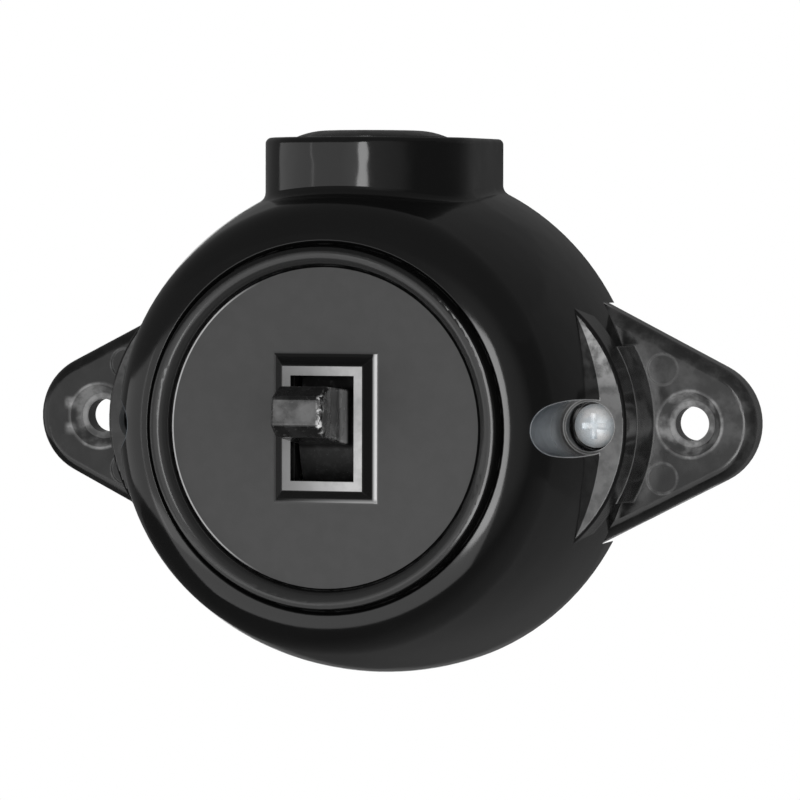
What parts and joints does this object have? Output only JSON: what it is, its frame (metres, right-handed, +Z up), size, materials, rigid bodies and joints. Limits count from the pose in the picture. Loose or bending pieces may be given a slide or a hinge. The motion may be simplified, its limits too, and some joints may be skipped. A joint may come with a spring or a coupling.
{
  "type": "surface toggle light switch",
  "caption": "Round black surface-mounted toggle switch with a lever in a framed window, a top cable entry and mounting ears; the lever tilts a contact rocker inside.",
  "frame": {"origin": "centre of the round base on its back face, which lies against the wall", "axes": "+X to the right as seen from the front, along the two mounting ears; +Y into the wall; +Z up, towards the cable entry"},
  "size_m": [0.1034, 0.0452, 0.0746],
  "materials": {
    "cover_phenolic": "polished black phenolic moulding",
    "base_phenolic": "glossy black phenolic moulding",
    "lever_phenolic": "handled black phenolic, lightly scuffed",
    "grommet_rubber": "soft black rubber",
    "zinc_screw": "bright zinc plating",
    "plain_steel": "plain drawn steel",
    "brass": "unlacquered brass",
    "contact_silver": "silver contact facing",
    "insert_ceramic": "unglazed cream ceramic",
    "plunger_fibre": "red-brown fibre"
  },
  "bodies": {
    "housing": {"front_cover": "cover_phenolic", "back_base": "base_phenolic", "entry_grommet": "grommet_rubber", "pivot_pin": "plain_steel", "bridge_frame": "plain_steel", "switch_insert": "insert_ceramic", "fixed_contact_rivet": "contact_silver", "line_contact": "brass", "load_contact": "brass", "cover_screw_left": "zinc_screw", "cover_screw_right": "zinc_screw", "cover_insert_left": "brass", "cover_insert_right": "brass", "insert_screw_left": "plain_steel", "insert_screw_right": "plain_steel", "bridge_screw_lower": "plain_steel", "bridge_screw_upper": "plain_steel", "line_clamp": "brass", "load_clamp": "brass", "line_clamp_screw": "plain_steel", "load_clamp_screw": "plain_steel"},
    "lever": {"toggle_lever": "lever_phenolic", "plunger": "plunger_fibre", "lever_spring": "plain_steel"},
    "contact_rocker": {"rocker": "brass", "moving_contact_rivet": "contact_silver"}
  },
  "joints": [
    {"name": "lever_pivot", "type": "hinge", "parent": "housing", "child": "lever", "pos_m": [0, -0.019, 0], "axis": [1, 0, 0], "range_deg": [0, 12]},
    {"name": "rocker_tilt", "type": "hinge", "parent": "housing", "child": "contact_rocker", "pos_m": [0, -0.0092, 0], "axis": [1, 0, 0], "range_deg": [-12, 0]}
  ],
  "couplings": [
    {"joint": "rocker_tilt", "follows": "lever_pivot", "ratio": -1}
  ]
}
